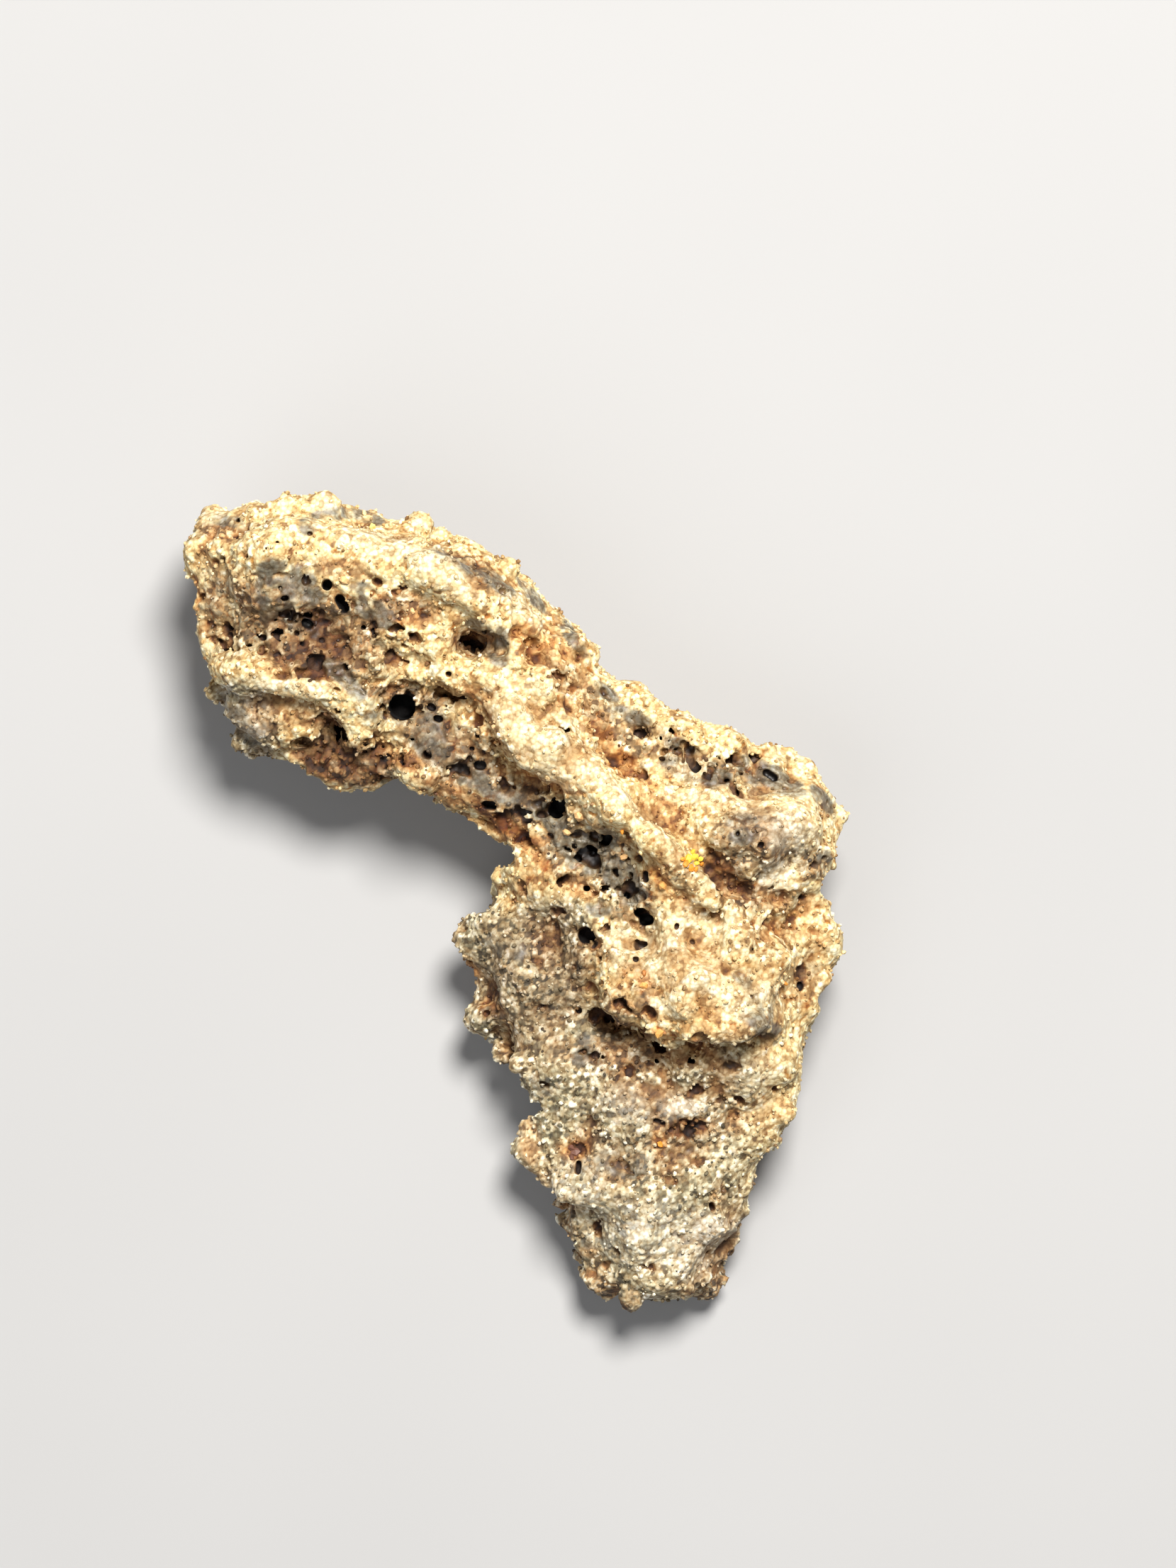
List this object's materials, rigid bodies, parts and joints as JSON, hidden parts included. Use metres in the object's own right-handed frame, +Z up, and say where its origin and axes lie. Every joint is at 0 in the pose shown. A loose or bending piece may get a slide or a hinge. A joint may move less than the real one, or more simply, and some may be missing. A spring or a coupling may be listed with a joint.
{
  "type": "fulgurite",
  "caption": "Bent, crusty branch of lightning-fused sand, pitted with gas bubbles, lying on its broad side.",
  "frame": {"origin": "under the middle of the object's box, on the surface that it rests on", "axes": "+Z up from the surface it lies on, +Y along its longest extent, towards the end of the arm and away from the tip of the blade; +X towards the elbow"},
  "size_m": [0.0336, 0.041, 0.0128],
  "materials": {
    "fused_sand": "rough, matt, sandy crust"
  },
  "bodies": {
    "root": {"fulgurite": "fused_sand"}
  },
  "joints": []
}
